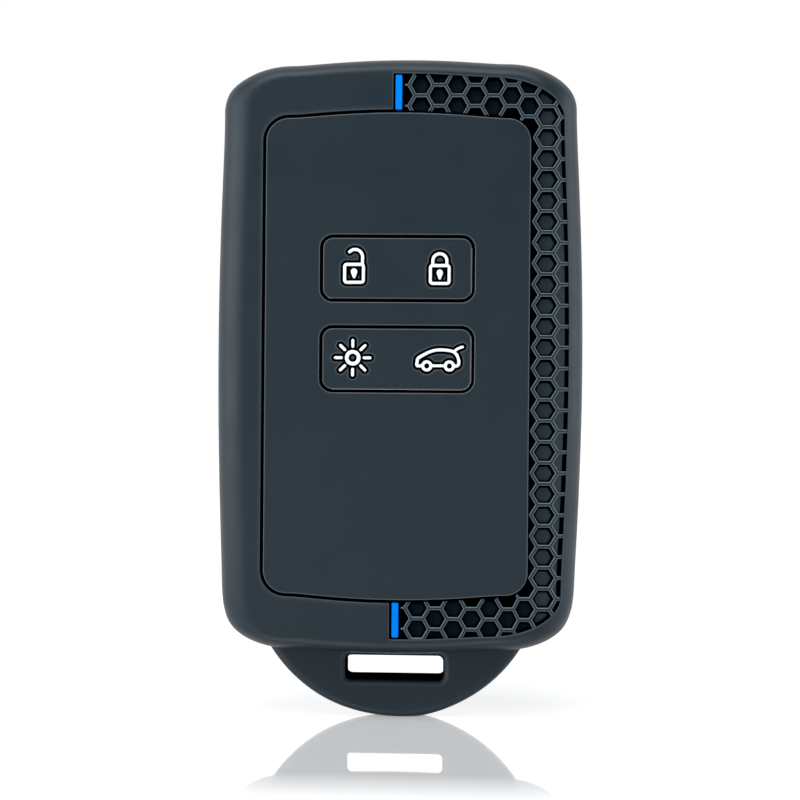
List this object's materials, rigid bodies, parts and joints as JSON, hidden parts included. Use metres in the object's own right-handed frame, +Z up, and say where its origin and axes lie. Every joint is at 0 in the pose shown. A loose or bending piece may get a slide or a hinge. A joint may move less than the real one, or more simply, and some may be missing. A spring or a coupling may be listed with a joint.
{
  "type": "key fob cover",
  "caption": "Soft sleeve for a card shaped key fob, with sprung press pads, a honeycomb relief on one side, a window in the back and a slotted strap tab.",
  "frame": {"origin": "tip of the strap tab, in the middle of the cover's width and depth", "axes": "+Z up along the cover to the end away from the strap tab, +Y from the front face to the back, +X to the honeycomb side"},
  "size_m": [0.06, 0.0154, 0.1078],
  "materials": {
    "slate_silicone": "matt dark slate silicone",
    "rib_silicone": "satin slate silicone",
    "blue_silicone": "satin bright blue silicone"
  },
  "bodies": {
    "cover": {"front_shell": "slate_silicone", "side_band": "slate_silicone", "back_lip": "slate_silicone", "strap_tab": "slate_silicone", "honeycomb_grille": "rib_silicone", "front_panel": "slate_silicone", "upper_pad_web": "slate_silicone", "lower_pad_web": "slate_silicone", "top_stripe": "blue_silicone", "bottom_stripe": "blue_silicone"},
    "upper_button": {"upper_pad": "slate_silicone"},
    "lower_button": {"lower_pad": "slate_silicone"}
  },
  "joints": [
    {"name": "upper_pad_press", "type": "slide", "parent": "cover", "child": "upper_button", "axis": [0, 1, 0], "range_m": [0, 0.0006], "stiffness_N_per_m": 1500, "deforming": ["upper_pad_web"]},
    {"name": "lower_pad_press", "type": "slide", "parent": "cover", "child": "lower_button", "axis": [0, 1, 0], "range_m": [0, 0.0006], "stiffness_N_per_m": 1500, "deforming": ["lower_pad_web"]}
  ]
}
